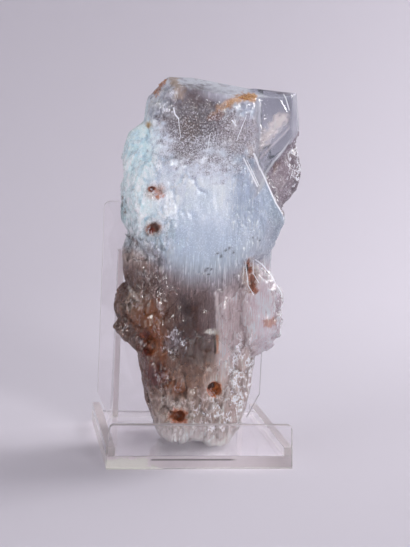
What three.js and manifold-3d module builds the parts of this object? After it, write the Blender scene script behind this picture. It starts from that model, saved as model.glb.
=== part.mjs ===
// A large etched topaz, pale blue above and smoky brown below, leaning in a clear acrylic
// display stand. Millimetres, +Z up. The viewer is on the -Y side, and the origin is the
// centre of the stand's underside.
import * as THREE from 'three';
import { ConvexGeometry } from 'three/addons/geometries/ConvexGeometry.js';
import { mergeVertices } from 'three/addons/utils/BufferGeometryUtils.js';
import Module from 'manifold-3d';

const wasm = await Module();
wasm.setup();

// Stand: flat plates of clear acrylic, cut square and glued edge to face
const standWidth = 76;
const standDepth = 77;
const baseThickness = 5;
const lipThickness = 3;
const lipHeight = 18.2;
const lipTaper = 0.9;
const lipCornerRadius = 2;
const backFace = 25;
const backThickness = 2.5;
const backWidth = 73.5;
const backTop = 101.5;
const backCornerRadius = 3;
const backFootWidth = 62.5;
const backFootHeight = 11;
const ribThickness = 2.5;
const ribSpacing = 57;
const ribTop = 80;
const ribTopDepth = 3.5;
const railWidth = 3.5;
const railHeight = 3.6;

// Stone: it leans back from upright, and is turned about its front so that its back is further
// right. Both are slopes, in millimetres a millimetre.
const stoneLean = 0.08;
const stoneTurn = 0.12;
const turnPivot = -22;
const restGap = 0.3;

// Etching: waves in the stone's surface, which are all but absent on its glassy upper right.
// The line between the two is where glassySlope * x + z passes from the first to the second.
const facetEdge = 8.5;
const etchDepth = 0.3;
const glassyEtchDepth = 0.05;
const etchWavelength = 9;
const fineWavelength = 4.5;
const glassySlope = 0.6;
const glassyFrom = 138;
const glassyTo = 150;

const frontY = -standDepth / 2;
const backY = standDepth / 2;

// A flat sheet whose outline is drawn in X and Z, between two depths
function sheetFacingFront(outline, nearY, farY) {
  const geometry = new THREE.ExtrudeGeometry(outline, {
    depth: farY - nearY, bevelEnabled: false, curveSegments: 6,
  });
  geometry.rotateX(Math.PI / 2);
  geometry.translate(0, farY, 0);
  return geometry;
}

// A block given by its lowest and highest corners
function slab(low, high) {
  const size = high.map((value, axis) => value - low[axis]);
  const geometry = new THREE.BoxGeometry(...size);
  geometry.translate(...low.map((value, axis) => value + size[axis] / 2));
  return geometry;
}

// The lip: a low plate across the front, slightly narrower at its rounded top
function lipOutline() {
  const foot = standWidth / 2;
  const top = foot - lipTaper;
  const outline = new THREE.Shape();
  outline.moveTo(-foot, 0);
  outline.lineTo(foot, 0);
  outline.lineTo(top, lipHeight - lipCornerRadius);
  outline.quadraticCurveTo(top, lipHeight, top - lipCornerRadius, lipHeight);
  outline.lineTo(-top + lipCornerRadius, lipHeight);
  outline.quadraticCurveTo(-top, lipHeight, -top, lipHeight - lipCornerRadius);
  outline.closePath();
  return outline;
}

// The back plate: tall, round at the top corners and cut in at the foot to clear the rails
function backOutline() {
  const foot = backFootWidth / 2;
  const side = backWidth / 2;
  const cutTop = baseThickness + backFootHeight;
  const outline = new THREE.Shape();
  outline.moveTo(-foot, baseThickness);
  outline.lineTo(foot, baseThickness);
  outline.lineTo(side, cutTop);
  outline.lineTo(side, backTop - backCornerRadius);
  outline.absarc(side - backCornerRadius, backTop - backCornerRadius, backCornerRadius, 0, Math.PI / 2);
  outline.lineTo(-side + backCornerRadius, backTop);
  outline.absarc(
    -side + backCornerRadius, backTop - backCornerRadius, backCornerRadius, Math.PI / 2, Math.PI,
  );
  outline.lineTo(-side, cutTop);
  outline.closePath();
  return outline;
}

// A rib: an upright gusset behind the back plate, wide at the base and narrow at its top
function rib(centreX) {
  const plateBack = backFace + backThickness;
  const outline = new THREE.Shape();
  outline.moveTo(plateBack, baseThickness);
  outline.lineTo(backY, baseThickness);
  outline.lineTo(plateBack + ribTopDepth, ribTop);
  outline.lineTo(plateBack, ribTop);
  outline.closePath();
  const geometry = new THREE.ExtrudeGeometry(outline, { depth: ribThickness, bevelEnabled: false });
  geometry.applyMatrix4(new THREE.Matrix4().makeBasis(
    new THREE.Vector3(0, 1, 0), new THREE.Vector3(0, 0, 1), new THREE.Vector3(1, 0, 0),
  ));
  geometry.translate(centreX - ribThickness / 2, 0, 0);
  return geometry;
}

// Crystals. Each is the hull of a few rings of corners [x, z], listed from its front face to
// its back, so its faces are flat. A ring with two depths is a straight-sided stretch. Depths
// are y before the stone leans back.
const topCrystal = [
  { depths: [-21.5], corners: [
    [-22, 140.5], [-16.5, 149], [-10.5, 152], [12.5, 149], [21, 148], [22.5, 121.5], [-1, 112.5], [-22, 118],
  ] },
  { depths: [-12.5, 6], corners: [
    [-23, 147], [-21, 150], [-15.5, 155.8], [-5.5, 155.8], [13, 152.8], [21.5, 152],
    [24.5, 135.5], [25.5, 112.5], [-0.5, 103.5], [-26, 107], [-25, 132],
  ] },
  { depths: [13.5], corners: [
    [-19, 144], [-11, 152.5], [-3.5, 153], [15, 149.5], [22, 146], [24, 114], [2.5, 104], [-22, 111.5],
  ] },
];
const clearCrystal = [
  { depths: [-19.5], corners: [[17, 149], [32, 149], [35, 143.5], [34.5, 138], [24.5, 127.5], [17, 121.5]] },
  { depths: [-16.5], corners: [[18, 151], [36.5, 150.5], [39, 142], [38.5, 135.5], [27, 121], [19, 116]] },
  { depths: [-11.5, 1], corners: [
    [17.5, 152], [20.5, 152.7], [39, 151.5], [40.5, 140.5], [41, 134], [27.5, 116], [19, 111],
  ] },
  { depths: [8], corners: [[20, 149.5], [36, 148], [38, 136], [26, 117], [19, 114]] },
];
const smokyWedge = [
  { depths: [-9], corners: [[34, 126], [38, 119.5], [36.5, 113], [31, 108], [26, 113.5]] },
  { depths: [-0.5, 6], corners: [
    [35.5, 132.5], [40.5, 128.5], [43.5, 118], [42.5, 114], [41.5, 110.5], [35, 103.5],
    [27, 103.5], [24.5, 120.5],
  ] },
  { depths: [14], corners: [[34, 126], [38, 117], [36.5, 110], [30, 106], [25, 121]] },
];
const blueCrystal = [
  { depths: [-24], corners: [
    [-25.5, 118.5], [-27.5, 105.5], [-25, 94.5], [-15, 81], [5, 73.5], [21.5, 84.5],
    [28, 97.5], [22.5, 112.5], [16.5, 124.5], [-2, 125.5],
  ] },
  { depths: [-17.5], corners: [
    [21.8, 125.8], [32.7, 105.3], [35.5, 97.5], [30, 86], [6.5, 69.5], [-19, 78], [-28, 90.5],
    [-32.3, 107], [-32, 124], [-28.5, 130], [-8, 134],
  ] },
  { depths: [-14.5, 9], corners: [
    [-30.5, 132], [-32, 127], [-33.5, 121], [-33.5, 109], [-32.5, 96.5], [-29, 90], [-20, 77],
    [7, 68.5], [26.5, 80.5], [30.5, 86.5], [36, 98], [34, 104.5], [22, 127.5], [4.5, 138], [-22.5, 138],
  ] },
  { depths: [17], corners: [
    [-26, 126], [-28, 106.5], [-26.5, 92], [-9.5, 74.5], [11, 70], [26, 82.5],
    [30, 94.5], [26, 108], [20, 124],
  ] },
];
const smokyColumn = [
  { depths: [-22.8], corners: [
    [-22.5, 67], [-20.5, 45], [-17.5, 26.5], [-14, 14.5], [-10, 9.5], [6, 6], [13, 6],
    [17.5, 14], [18.5, 31], [20, 53.5], [21.5, 74.5], [-0.5, 83],
  ] },
  { depths: [-14.5, 4], corners: [
    [-29, 93.5], [-32, 83.5], [-31.5, 75], [-29.5, 69.5], [-26, 56.5], [-24.5, 43], [-22.5, 34],
    [-21, 24], [-18, 16], [-14.5, 8], [16, 7], [20.5, 15], [22.5, 25], [23.5, 37], [27, 60.5],
    [30, 77.5], [30, 86.5],
  ] },
  { depths: [12], corners: [
    [-25, 88], [-24.5, 68.5], [-19, 42.5], [-16, 23], [-11, 8], [12, 7.5], [17, 19], [18, 39],
    [24, 74], [24, 88],
  ] },
];
const rightLobe = [
  { depths: [-25.5], corners: [
    [22.5, 78], [27.5, 73.5], [30.5, 67.5], [29, 58.5], [27, 52], [20.5, 48.5], [17.5, 64.5],
  ] },
  { depths: [-16.5, -6], corners: [
    [24, 81.5], [30.5, 75], [35.5, 68], [35, 60], [35.5, 52], [32, 46], [25.5, 42], [18, 42.5],
    [15, 65], [20.5, 79],
  ] },
  { depths: [6], corners: [[24, 76], [29.5, 66.5], [30, 52], [25, 44], [18, 48.5]] },
];
const leftLobe = [
  { depths: [-21.5], corners: [
    [-28, 68.5], [-31, 64], [-30, 59.5], [-23.5, 52], [-17.5, 51.5], [-17, 66],
  ] },
  { depths: [-14.5, -5], corners: [
    [-30, 70.5], [-33, 67.5], [-35, 64.5], [-35, 60], [-33.5, 56], [-24, 44], [-15.5, 45], [-16.5, 68],
  ] },
  { depths: [3.5], corners: [[-28, 65], [-31, 60], [-28.5, 54], [-21, 46], [-16, 61]] },
];
const leftSpike = [
  { depths: [-18.5], corners: [[-31.5, 55], [-33.5, 52.5], [-24, 44], [-20, 48], [-24.5, 55.5]] },
  { depths: [-14.5], corners: [[-33, 56.5], [-36, 52], [-31, 48], [-24, 40.5], [-20, 43]] },
  { depths: [-7], corners: [[-31.5, 54], [-33, 50.5], [-23.5, 42.5], [-20, 50]] },
];
const rightFoot = [
  { depths: [-24.9], corners: [[4, 10], [6.5, 5.4], [12.5, 5.4], [15, 12.5], [10.5, 18.5], [3.5, 17.5]] },
  { depths: [-14.5, 3], corners: [[1, 12], [3, 5.4], [14, 5.4], [19, 14], [12.5, 20.5]] },
];
const leftFoot = [
  { depths: [-24.4], corners: [[-14, 13], [-13.5, 10], [-10.5, 8], [-6, 7], [-1.5, 8.5], [0, 15], [-7, 19]] },
  { depths: [-16.5], corners: [[-17.5, 14], [-13.5, 7.5], [-1, 6.5], [1, 14.5], [-11, 19.5]] },
];
const wideCrystals = [
  topCrystal, clearCrystal, smokyWedge, blueCrystal, smokyColumn, rightLobe, leftLobe, leftSpike,
  rightFoot, leftFoot,
];

// Bundles of narrow upright crystals, which ridge the stone from top to bottom: the stretch of
// x that a bundle covers, where its crystals end, the face they stand out of, and which way
const ridgePitch = 4.6;
const ridgeRoot = 5;
const ridgeHeight = 0.75;
const ridgeBevel = 1.75;
const ridgeBundles = [
  { left: -11, right: 17, bottom: 8, top: 84, face: -22.8, outward: -1 },
  { left: -17, right: 15, bottom: 10, top: 86, face: 12, outward: 1 },
  { left: -22, right: 22, bottom: 102, top: 130, face: 16.6, outward: 1 },
  { left: -18, right: 20, bottom: 124, top: 152, face: 13.2, outward: 1 },
];

// Lumps of etched ground: the patch they cover, the face they stand on and their number
const etchedPatches = [
  { left: -30.5, right: -28, bottom: 71, top: 92, face: -13, count: 7 },
  { left: -26, right: -13, bottom: 83, top: 98, face: -22.2, count: 10 },
  { left: -26, right: -14, bottom: 50, top: 68, face: -20, count: 9 },
  { left: -17, right: -2, bottom: 10, top: 30, face: -21.8, count: 12 },
  { left: 17, right: 20.5, bottom: 17, top: 44, face: -17.5, count: 11 },
  { left: 20, right: 32, bottom: 46, top: 76, face: -22.6, count: 9 },
  { left: -19, right: 20, bottom: 20, top: 90, face: 11, count: 12 },
];
const smallestLump = 1.8;
const largestLump = 3.6;
const lumpProportions = [0.8, 0.62, 1.25];

// Natural pits, each a small many-sided hollow: centre (with its depth before the lean), half sizes
const pits = [
  { centre: [-21, -24, 110.4], half: [1.6, 2.4, 1.1] },
  { centre: [-18.9, -24, 108.5], half: [2.2, 1.2, 1.9] },
  { centre: [-20.3, -23.8, 94.2], half: [2.6, 2.6, 2.2] },
  { centre: [20.9, -24.5, 75.5], half: [2.6, 3.2, 5.6] },
  { centre: [-20.6, -22.3, 46.5], half: [3.9, 4.6, 4.6] },
  { centre: [7.4, -23.6, 28.7], half: [2.8, 5, 3] },
  { centre: [-7.4, -23.6, 17.8], half: [3.2, 3.8, 2.7] },
  { centre: [-14.3, -22.8, 40.8], half: [3, 2, 6.4] },
];

// The smoky window: a sink in the column's front that deepens towards its lower right corner
const windowSink = { left: -13, right: 8, bottom: 44, top: 72, deep: 3.2 };

const leaned = (x, depth, z) => new THREE.Vector3(
  x + stoneTurn * (depth - turnPivot), depth + stoneLean * z, z,
);

function solidFrom(geometry) {
  geometry.deleteAttribute('normal');
  geometry.deleteAttribute('uv');
  const merged = mergeVertices(geometry, 1e-4);
  return new wasm.Manifold(new wasm.Mesh({
    numProp: 3,
    vertProperties: new Float32Array(merged.attributes.position.array),
    triVerts: new Uint32Array(merged.index.array),
  }));
}

function geometryFrom(solid) {
  const mesh = solid.getMesh();
  const geometry = new THREE.BufferGeometry();
  geometry.setAttribute('position', new THREE.BufferAttribute(mesh.vertProperties, mesh.numProp));
  geometry.setIndex(new THREE.BufferAttribute(mesh.triVerts, 1));
  return geometry;
}

function hullSolid(corners) {
  return solidFrom(new ConvexGeometry(corners));
}

// A wide crystal, with the long edges of its faces split so that etching can shape them
function crystalSolid(rings) {
  const corners = rings.flatMap(({ depths, corners: ring }) => depths.flatMap(
    (depth) => ring.map(([x, z]) => leaned(x, depth, z)),
  ));
  return refined(new ConvexGeometry(corners));
}

// One upright crystal: a five-sided prism, rooted in the stone, with its outer edges cut back
// at both ends
function ridgeSolid(x, halfWidth, bottom, top, face, outward, height) {
  const root = face - outward * ridgeRoot;
  const section = [
    [-1, face, ridgeBevel], [-0.35, face + outward * height, ridgeBevel],
    [0.5, face + 0.6 * outward * height, ridgeBevel], [1, face, ridgeBevel], [0, root, 0],
  ];
  return hullSolid(section.flatMap(([across, depth, cutBack]) => [bottom + cutBack, top - cutBack].map(
    (z) => leaned(x + across * halfWidth, depth, z),
  )));
}

function ridgeBundle({ left, right, bottom, top, face, outward }) {
  const ridges = [];
  for (let x = left; x <= right; x += ridgePitch) {
    const chance = (n) => hash(x, face, n);
    const middle = x + 0.3 * ridgePitch * chance(1);
    const halfWidth = ridgePitch * (0.6 + 0.25 * chance(2));
    const low = THREE.MathUtils.lerp(bottom, top, 0.1 * Math.abs(chance(3)));
    const high = THREE.MathUtils.lerp(top, bottom, 0.35 * Math.abs(chance(4)));
    const height = ridgeHeight * (1 + 0.5 * chance(5));
    ridges.push(ridgeSolid(middle, halfWidth, low, high, face, outward, height));
  }
  return ridges;
}

// A lump: a squat eight-sided crystal, half sunk in the ground it grows from
function lump(centre, size, turn) {
  const geometry = new THREE.OctahedronGeometry(size, 0);
  geometry.scale(...lumpProportions);
  geometry.rotateZ(turn);
  geometry.rotateY(turn);
  geometry.translate(...centre.toArray());
  return solidFrom(geometry);
}

function etchedPatch({ left, right, bottom, top, face, count }) {
  return Array.from({ length: count }, (_, i) => {
    const [across, up, scale, turn] = [1, 2, 3, 4].map((n) => (hash(i + left, bottom, n) + 1) / 2);
    const centre = leaned(
      THREE.MathUtils.lerp(left, right, across), face, THREE.MathUtils.lerp(bottom, top, up),
    );
    return lump(centre, THREE.MathUtils.lerp(smallestLump, largestLump, scale), turn * Math.PI);
  });
}

function pitSolid({ centre, half }) {
  const geometry = new THREE.IcosahedronGeometry(1, 1);
  geometry.scale(...half);
  geometry.translate(...leaned(...centre).toArray());
  return solidFrom(geometry);
}

// The sink's four corners, from in front of the column's ridges to the depths of its floor
function windowSolid({ left, right, bottom, top, deep }) {
  const face = smokyColumn[0].depths[0];
  const outside = face - 3 * ridgeHeight;
  const floors = [[left, bottom, 0.4], [right, bottom, deep], [right, top, -0.6], [left, top, -0.8]];
  return hullSolid(floors.flatMap(([x, z, floor]) => [leaned(x, outside, z), leaned(x, face + floor, z)]));
}

// The solid of a geometry whose edges over the limit are split at their middles until none is left
function refined(geometry) {
  geometry.deleteAttribute('normal');
  const merged = mergeVertices(geometry, 1e-4);
  const points = [];
  for (let i = 0; i < merged.attributes.position.count; i++) {
    points.push(new THREE.Vector3().fromBufferAttribute(merged.attributes.position, i));
  }
  let faces = [];
  for (let i = 0; i < merged.index.count; i += 3) {
    faces.push([0, 1, 2].map((corner) => merged.index.getX(i + corner)));
  }
  for (let anySplit = true; anySplit;) {
    const middles = new Map();
    const middle = (a, b) => {
      if (points[a].distanceTo(points[b]) <= facetEdge) return -1;
      const key = a < b ? `${a} ${b}` : `${b} ${a}`;
      if (!middles.has(key)) {
        middles.set(key, points.length);
        points.push(points[a].clone().add(points[b]).multiplyScalar(0.5));
      }
      return middles.get(key);
    };
    const next = [];
    for (const [a, b, c] of faces) {
      const [ab, bc, ca] = [middle(a, b), middle(b, c), middle(c, a)];
      next.push(...splitTriangle([a, b, c], [ab, bc, ca]));
    }
    anySplit = middles.size > 0;
    faces = next;
  }
  return new wasm.Manifold(new wasm.Mesh({
    numProp: 3,
    vertProperties: new Float32Array(points.flatMap((point) => point.toArray())),
    triVerts: new Uint32Array(faces.flat()),
  }));
}

// Cuts one triangle at the edge middles that are given, where -1 means an edge stays whole
function splitTriangle(corners, middles) {
  const cuts = middles.filter((m) => m >= 0).length;
  if (cuts === 0) return [corners];
  const start = cuts === 1
    ? middles.findIndex((m) => m >= 0)
    : (middles.findIndex((m) => m < 0) + 1) % 3;
  const [a, b, c] = [0, 1, 2].map((step) => corners[(start + step) % 3]);
  const [ab, bc, ca] = [0, 1, 2].map((step) => middles[(start + step) % 3]);
  if (cuts === 1) return [[a, ab, c], [ab, b, c]];
  if (cuts === 2) return [[a, ab, c], [ab, bc, c], [ab, b, bc]];
  return [[a, ab, ca], [ab, b, bc], [ca, bc, c], [ab, bc, ca]];
}

// Smooth noise between -1 and 1 from a fixed hash of the whole-number grid around a point
function hash(i, j, k) {
  const wave = Math.sin(i * 127.1 + j * 311.7 + k * 74.7) * 43758.5453;
  return (wave - Math.floor(wave)) * 2 - 1;
}

function smoothNoise(x, y, z) {
  const cell = [x, y, z].map(Math.floor);
  const [u, v, w] = [x, y, z].map((value, axis) => THREE.MathUtils.smoothstep(value - cell[axis], 0, 1));
  const at = (i, j, k) => hash(cell[0] + i, cell[1] + j, cell[2] + k);
  const alongX = (j, k) => THREE.MathUtils.lerp(at(0, j, k), at(1, j, k), u);
  const alongY = (k) => THREE.MathUtils.lerp(alongX(0, k), alongX(1, k), v);
  return THREE.MathUtils.lerp(alongY(0), alongY(1), w);
}

function etchAmount(point) {
  const glassy = THREE.MathUtils.smoothstep(glassySlope * point.x + point.z, glassyFrom, glassyTo);
  return THREE.MathUtils.lerp(etchDepth, glassyEtchDepth, glassy);
}

// Moves the surface in and out along its normals
function etch(geometry) {
  geometry.computeVertexNormals();
  const position = geometry.attributes.position;
  const normal = geometry.attributes.normal;
  for (let i = 0; i < position.count; i++) {
    const point = new THREE.Vector3().fromBufferAttribute(position, i);
    const wave = smoothNoise(...point.toArray().map((value) => value / etchWavelength))
      + 0.5 * smoothNoise(...point.toArray().map((value) => value / fineWavelength));
    point.addScaledVector(new THREE.Vector3().fromBufferAttribute(normal, i), wave * etchAmount(point));
    position.setXYZ(i, ...point.toArray());
  }
}

// The room that the stand's plates take up, which the stone keeps out of by a small gap
function standRoom() {
  const left = -standWidth;
  const right = standWidth;
  const floorTop = baseThickness + restGap;
  return [
    slab([left, frontY, -floorTop], [right, backY, floorTop]),
    slab([left, backFace - restGap, 0], [right, backY, backTop + restGap]),
  ].map(solidFrom);
}

function topazGeometry() {
  const growths = [...ridgeBundles.flatMap(ridgeBundle), ...etchedPatches.flatMap(etchedPatch)];
  const hollows = [windowSolid(windowSink), ...pits.map(pitSolid)];
  let stone = crystalSolid(wideCrystals[0]);
  for (const rings of wideCrystals.slice(1)) stone = stone.add(crystalSolid(rings));
  for (const growth of growths) stone = stone.add(growth);
  for (const hollow of hollows) stone = stone.subtract(hollow);

  const etched = geometryFrom(stone);
  etch(etched);
  const clearOfStand = standRoom().reduce((rest, room) => rest.subtract(room), solidFrom(etched));
  return geometryFrom(clearOfStand);
}

const acrylic = () => new THREE.MeshStandardMaterial({
  color: 0xdfe3e6, roughness: 0.06, metalness: 0, transparent: true, opacity: 0.35,
});
const topaz = () => new THREE.MeshStandardMaterial({ color: 0xb4c6cd, roughness: 0.25, metalness: 0 });

const model = new THREE.Group();

function addPiece(name, geometry, material) {
  const mesh = new THREE.Mesh(geometry, material);
  mesh.name = name;
  model.add(mesh);
}

const lipBack = frontY + lipThickness;
const half = standWidth / 2;
const railTop = baseThickness + railHeight;
addPiece('stand_base', slab([-half, lipBack, 0], [half, backY, baseThickness]), acrylic());
addPiece('stand_front_lip', sheetFacingFront(lipOutline(), frontY, lipBack), acrylic());
addPiece('stand_back_plate', sheetFacingFront(backOutline(), backFace, backFace + backThickness), acrylic());
for (const [side, sign] of [['left', -1], ['right', 1]]) {
  addPiece(`stand_rib_${side}`, rib(sign * ribSpacing / 2), acrylic());
  const [railLow, railHigh] = [sign * half, sign * (half - railWidth)].sort((a, b) => a - b);
  addPiece(
    `stand_rail_${side}`,
    slab([railLow, lipBack, baseThickness], [railHigh, backY, railTop]),
    acrylic(),
  );
}
addPiece('topaz_crystal', topazGeometry(), topaz());

export default model;
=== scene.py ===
import math

import bmesh
import bpy
import numpy as np
from mathutils import Matrix, Vector, noise


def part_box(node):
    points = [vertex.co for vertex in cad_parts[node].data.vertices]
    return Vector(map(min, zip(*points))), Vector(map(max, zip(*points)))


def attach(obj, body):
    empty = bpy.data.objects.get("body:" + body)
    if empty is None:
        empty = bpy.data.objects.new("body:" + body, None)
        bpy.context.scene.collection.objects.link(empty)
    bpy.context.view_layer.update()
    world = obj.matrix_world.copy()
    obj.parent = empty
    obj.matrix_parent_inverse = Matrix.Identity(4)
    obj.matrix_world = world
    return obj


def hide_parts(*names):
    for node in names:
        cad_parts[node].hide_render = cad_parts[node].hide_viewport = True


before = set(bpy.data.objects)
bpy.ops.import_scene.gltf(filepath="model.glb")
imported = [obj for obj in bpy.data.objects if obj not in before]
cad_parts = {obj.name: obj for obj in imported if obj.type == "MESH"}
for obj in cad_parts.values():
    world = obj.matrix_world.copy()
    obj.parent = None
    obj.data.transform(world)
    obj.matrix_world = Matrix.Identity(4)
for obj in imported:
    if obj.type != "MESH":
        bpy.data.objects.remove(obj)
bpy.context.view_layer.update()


# Base plate of the stand: almost a square of clear cast acrylic, 5 mm thick and sawn to size. Its
# faces are polished, and its sawn sides are slightly rough, so they gather light and look whitish.
MM = 0.001
ACROSS, DEEP, UP = range(3)
SAME_POINT = 0.001 * MM
FLAT_ANGLE = math.radians(0.5)
SHARP_ANGLE = math.radians(20)
EDGE_BREAK = 0.25 * MM
BOND_OVERLAP = 0.03 * MM
ACRYLIC_IOR = 1.49
LAMP_SHARE = 0.87
POLISHED_TINT = (0.975, 0.958, 0.968)
POLISHED_ROUGHNESS = (0.02, 0.06)
POLISHED_CLARITY = 1.0
SAWN_TINT = (0.805, 0.74, 0.748)
SAWN_ROUGHNESS = (0.32, 0.45)
SAWN_CLARITY = 0.86
SMUDGE_CLOUDING = 0.06
SCRATCH_DEPTH = 0.1 * MM

# Cement in the joint of base and lip. Each pair is where it begins and where it is full, in
# millimetres from the middle of the stand or up from its underside.
CEMENT_DEPTH = (-35.0, -35.3)
BLOB_SIDE = (-19.5, -21.0)
BLOB_TOP = (4.2, 3.6)
BLOB_COLOUR = (0.74, 0.73, 0.68, 1)
GAP_LEFT = (-20.5, -19.5)
GAP_RIGHT = (16.0, 12.0)
GAP_FOOT = (3.0, 3.2)
GAP_TOP = (3.9, 3.7)
GAP_COLOUR = (0.14, 0.12, 0.12, 1)


def put(tree, value, socket):
    """Links a node's output to the socket, or sets a plain value on it."""
    if isinstance(value, bpy.types.NodeSocket):
        tree.links.new(value, socket)
    else:
        socket.default_value = value


def add_node(tree, kind, values=None, **settings):
    """A new node with its settings and its inputs, which are named or numbered in values."""
    node = tree.nodes.new(kind)
    for name, setting in settings.items():
        setattr(node, name, setting)
    for key, value in (values or {}).items():
        put(tree, value, node.inputs[key])
    return node


def maths(tree, operation, a, b=0.0, clamp=False):
    node = add_node(tree, "ShaderNodeMath", {0: a, 1: b}, operation=operation, use_clamp=clamp)
    return node.outputs[0]


def plus(tree, a, b):
    return maths(tree, "ADD", a, b)


def times(tree, product, *factors):
    for factor in factors:
        product = maths(tree, "MULTIPLY", product, factor)
    return product


def ramp(tree, value, low, high, to_low=0.0, to_high=1.0):
    """The value carried smoothly from the range low..high to the range to_low..to_high."""
    node = add_node(
        tree, "ShaderNodeMapRange",
        {"Value": value, "From Min": low, "From Max": high, "To Min": to_low, "To Max": to_high},
        interpolation_type="SMOOTHSTEP",
    )
    return node.outputs["Result"]


def mixed_colour(tree, share, a, b):
    node = add_node(tree, "ShaderNodeMix", {0: share, 6: a, 7: b}, data_type="RGBA")
    return node.outputs[2]


def object_place(tree, stretch=(1, 1, 1)):
    """Object coordinates in millimetres, each axis multiplied by its stretch."""
    source = add_node(tree, "ShaderNodeTexCoord").outputs["Object"]
    scale = [s / MM for s in stretch]
    return add_node(tree, "ShaderNodeMapping", {"Vector": source, "Scale": scale}).outputs[0]


def noise_value(tree, place, scale, detail=3.0, roughness=0.5):
    node = add_node(tree, "ShaderNodeTexNoise", {
        "Vector": place, "Scale": scale, "Detail": detail, "Roughness": roughness,
    })
    return node.outputs["Fac"]


def new_material(name):
    material = bpy.data.materials.new(name)
    material.use_nodes = True
    tree = material.node_tree
    tree.nodes.clear()
    shader = tree.nodes.new("ShaderNodeBsdfPrincipled")
    output = tree.nodes.new("ShaderNodeOutputMaterial")
    tree.links.new(shader.outputs[0], output.inputs["Surface"])
    return material, tree, shader


def let_lamps_through(tree, shader):
    """Makes a clear shader cast no dark shadow, as clear plates let most light through."""
    path = tree.nodes.new("ShaderNodeLightPath")
    open_air = tree.nodes.new("ShaderNodeBsdfTransparent")
    put(tree, (LAMP_SHARE, LAMP_SHARE, LAMP_SHARE, 1), open_air.inputs["Color"])
    mix = add_node(tree, "ShaderNodeMixShader", {
        0: path.outputs["Is Shadow Ray"], 1: shader.outputs[0], 2: open_air.outputs[0],
    })
    output = next(node for node in tree.nodes if node.type == "OUTPUT_MATERIAL")
    tree.links.new(mix.outputs[0], output.inputs["Surface"])


def with_cement(tree, place, colour, clearness):
    """The cement between base and lip: a yellowish blob near the left, then a thin dark gap in it."""
    parts = add_node(tree, "ShaderNodeSeparateXYZ", {"Vector": place})
    across, deep, up = [parts.outputs[axis] for axis in ("X", "Y", "Z")]
    lumps = ramp(tree, noise_value(tree, place, 0.35, detail=4.0), 0.35, 0.65, -4.0, 4.0)
    lumpy_side = plus(tree, across, lumps)
    lumpy_top = plus(tree, up, times(tree, lumps, 0.15))
    joint = ramp(tree, deep, *CEMENT_DEPTH)
    blob = times(tree, ramp(tree, lumpy_side, *BLOB_SIDE), joint, ramp(tree, lumpy_top, *BLOB_TOP))
    gap = times(tree, ramp(tree, across, *GAP_LEFT), ramp(tree, across, *GAP_RIGHT))
    gap = times(tree, gap, joint, ramp(tree, up, *GAP_FOOT), ramp(tree, up, *GAP_TOP))
    colour = mixed_colour(tree, blob, colour, BLOB_COLOUR)
    colour = mixed_colour(tree, gap, colour, GAP_COLOUR)
    cloudy = maths(tree, "MAXIMUM", times(tree, blob, 0.6), times(tree, gap, 0.85))
    return colour, times(tree, clearness, maths(tree, "SUBTRACT", 1.0, cloudy))


def acrylic_material(name, tint, roughness, clarity, cemented=False):
    """Clear acrylic. Handling marks make its roughness vary between two values in soft patches."""
    material, tree, shader = new_material(name)
    place = object_place(tree)
    smudge = noise_value(tree, place, 0.12, detail=5.0, roughness=0.6)
    scratches = noise_value(tree, object_place(tree, (0.12, 1, 1.6)), 0.9, detail=2.0)
    put(tree, ramp(tree, smudge, 0.42, 0.7, *roughness), shader.inputs["Roughness"])
    colour = (*tint, 1)
    clearness = ramp(tree, smudge, 0.35, 0.75, clarity, clarity - SMUDGE_CLOUDING)
    if cemented:
        colour, clearness = with_cement(tree, place, colour, clearness)
    put(tree, colour, shader.inputs["Base Color"])
    put(tree, clearness, shader.inputs["Transmission Weight"])
    put(tree, ACRYLIC_IOR, shader.inputs["IOR"])
    bump = add_node(tree, "ShaderNodeBump", {
        "Strength": 0.05, "Distance": SCRATCH_DEPTH, "Height": scratches,
    })
    put(tree, bump.outputs[0], shader.inputs["Normal"])
    let_lamps_through(tree, shader)
    return material


polished_acrylic = acrylic_material(
    "polished_acrylic", POLISHED_TINT, POLISHED_ROUGHNESS, POLISHED_CLARITY,
)
sawn_acrylic = acrylic_material(
    "sawn_acrylic", SAWN_TINT, SAWN_ROUGHNESS, SAWN_CLARITY, cemented=True,
)


def merged_mesh(node_name):
    """The solid's own mesh, with its loose triangles joined up."""
    mesh = bmesh.new()
    mesh.from_mesh(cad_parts[node_name].data)
    bmesh.ops.remove_doubles(mesh, verts=mesh.verts, dist=SAME_POINT)
    return mesh


def as_object(mesh, name):
    """An object in the scene made of the mesh, which is then done with."""
    data = bpy.data.meshes.new(name)
    mesh.to_mesh(data)
    mesh.free()
    thing = bpy.data.objects.new(name, data)
    bpy.context.scene.collection.objects.link(thing)
    return thing


def reach_past(mesh, node_name, grow):
    """Moves one side of the plate outwards along each axis, towards low or high by the sign of grow."""
    low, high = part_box(node_name)
    for vertex in mesh.verts:
        for axis in (ACROSS, DEEP, UP):
            near_low = vertex.co[axis] < (low[axis] + high[axis]) / 2
            if near_low == (grow[axis] < 0):
                vertex.co[axis] += grow[axis]


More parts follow.
